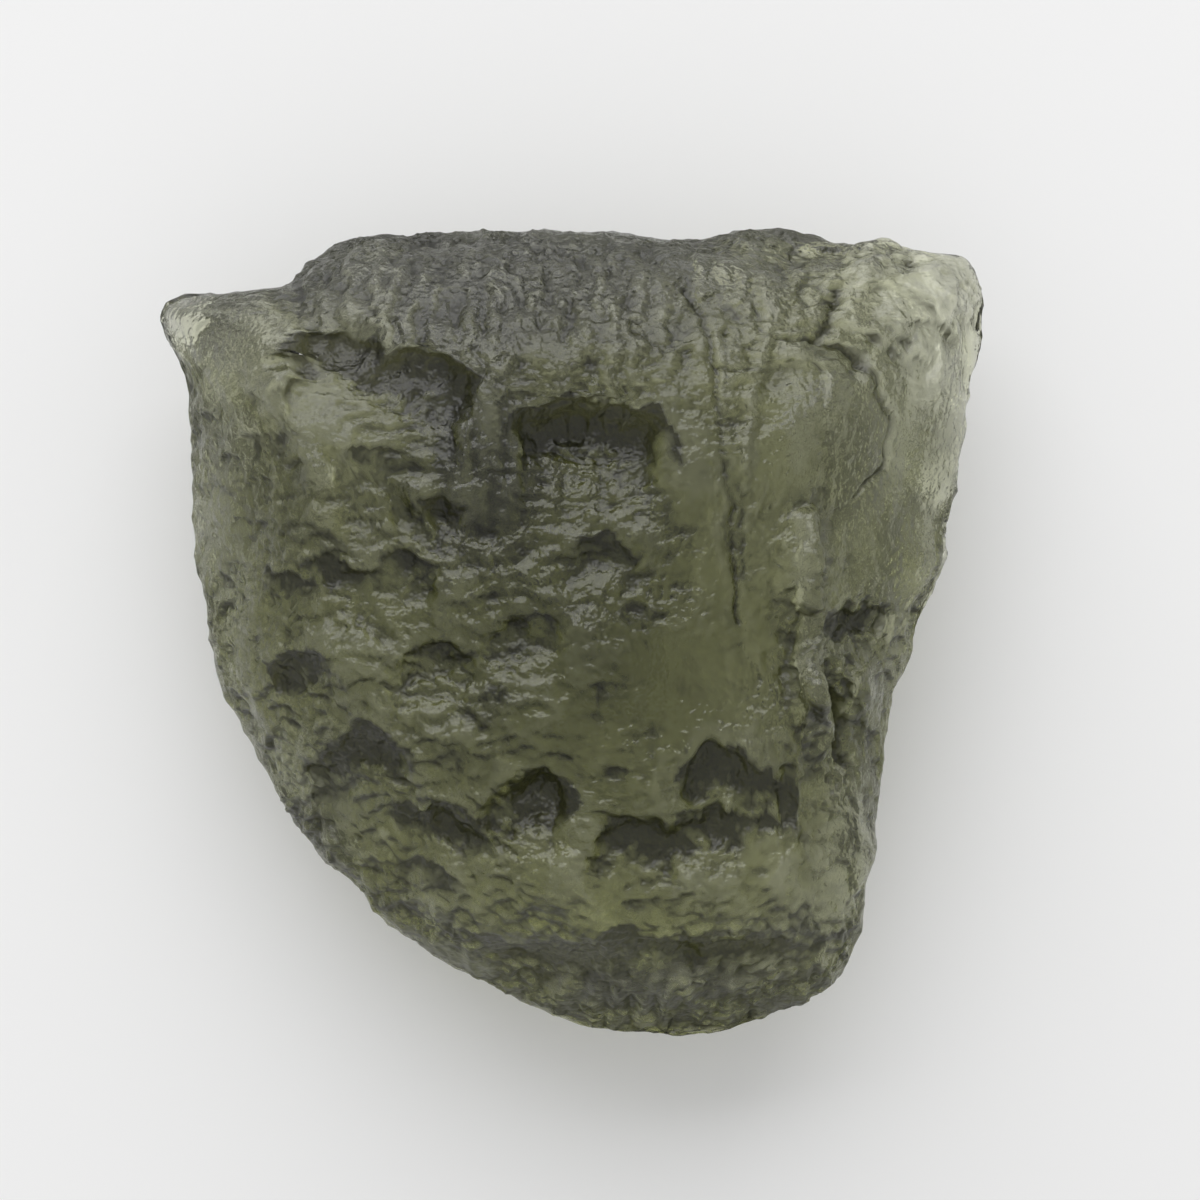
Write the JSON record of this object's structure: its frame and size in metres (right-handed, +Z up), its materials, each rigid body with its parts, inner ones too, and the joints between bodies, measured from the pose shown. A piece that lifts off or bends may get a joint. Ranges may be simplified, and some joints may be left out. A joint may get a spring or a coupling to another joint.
{
  "type": "moldavite",
  "caption": "Natural piece of olive-green impact glass, shield-shaped, with an etched skin of scallops, ledges and ridges. It lies on its back on a small flat spot.",
  "frame": {"origin": "centre of the stone's footprint box, on the surface that it lies on", "axes": "+Z up out of the best face, +Y towards the broad end, +X across the face towards the thin wing"},
  "size_m": [0.014, 0.0138, 0.0057],
  "materials": {
    "glass": "etched natural glass, olive green, translucent, satin with glossy hollows"
  },
  "bodies": {
    "root": {"moldavite": "glass"}
  },
  "joints": []
}
